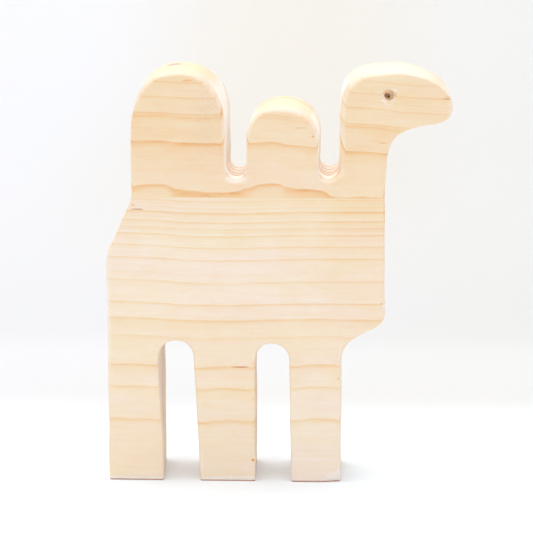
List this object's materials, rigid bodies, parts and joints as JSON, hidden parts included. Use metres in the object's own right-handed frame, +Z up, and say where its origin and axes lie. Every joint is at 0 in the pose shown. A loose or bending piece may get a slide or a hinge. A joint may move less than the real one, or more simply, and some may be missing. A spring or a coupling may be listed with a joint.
{
  "type": "wooden animal figure",
  "caption": "Flat camel figure sawn from an edge-glued softwood board, with humps, a drilled eye, square-cut legs and sanded edges. It stands on its own soles.",
  "frame": {"origin": "on the ground, under the middle of the figure's bounding box", "axes": "+Z up along the legs, +X the way the camel faces, the flat side that shows its right flank points to -Y"},
  "size_m": [0.1226, 0.028, 0.15],
  "materials": {
    "upper_board": "bare sanded softwood, pale honey, wide wavy growth rings",
    "lower_board": "bare sanded softwood, pale cream, growth rings running level",
    "glue": "set wood glue, thin translucent amber line"
  },
  "bodies": {
    "root": {"upper_stave": "upper_board", "lower_stave": "lower_board", "glue_seam": "glue"}
  },
  "joints": []
}
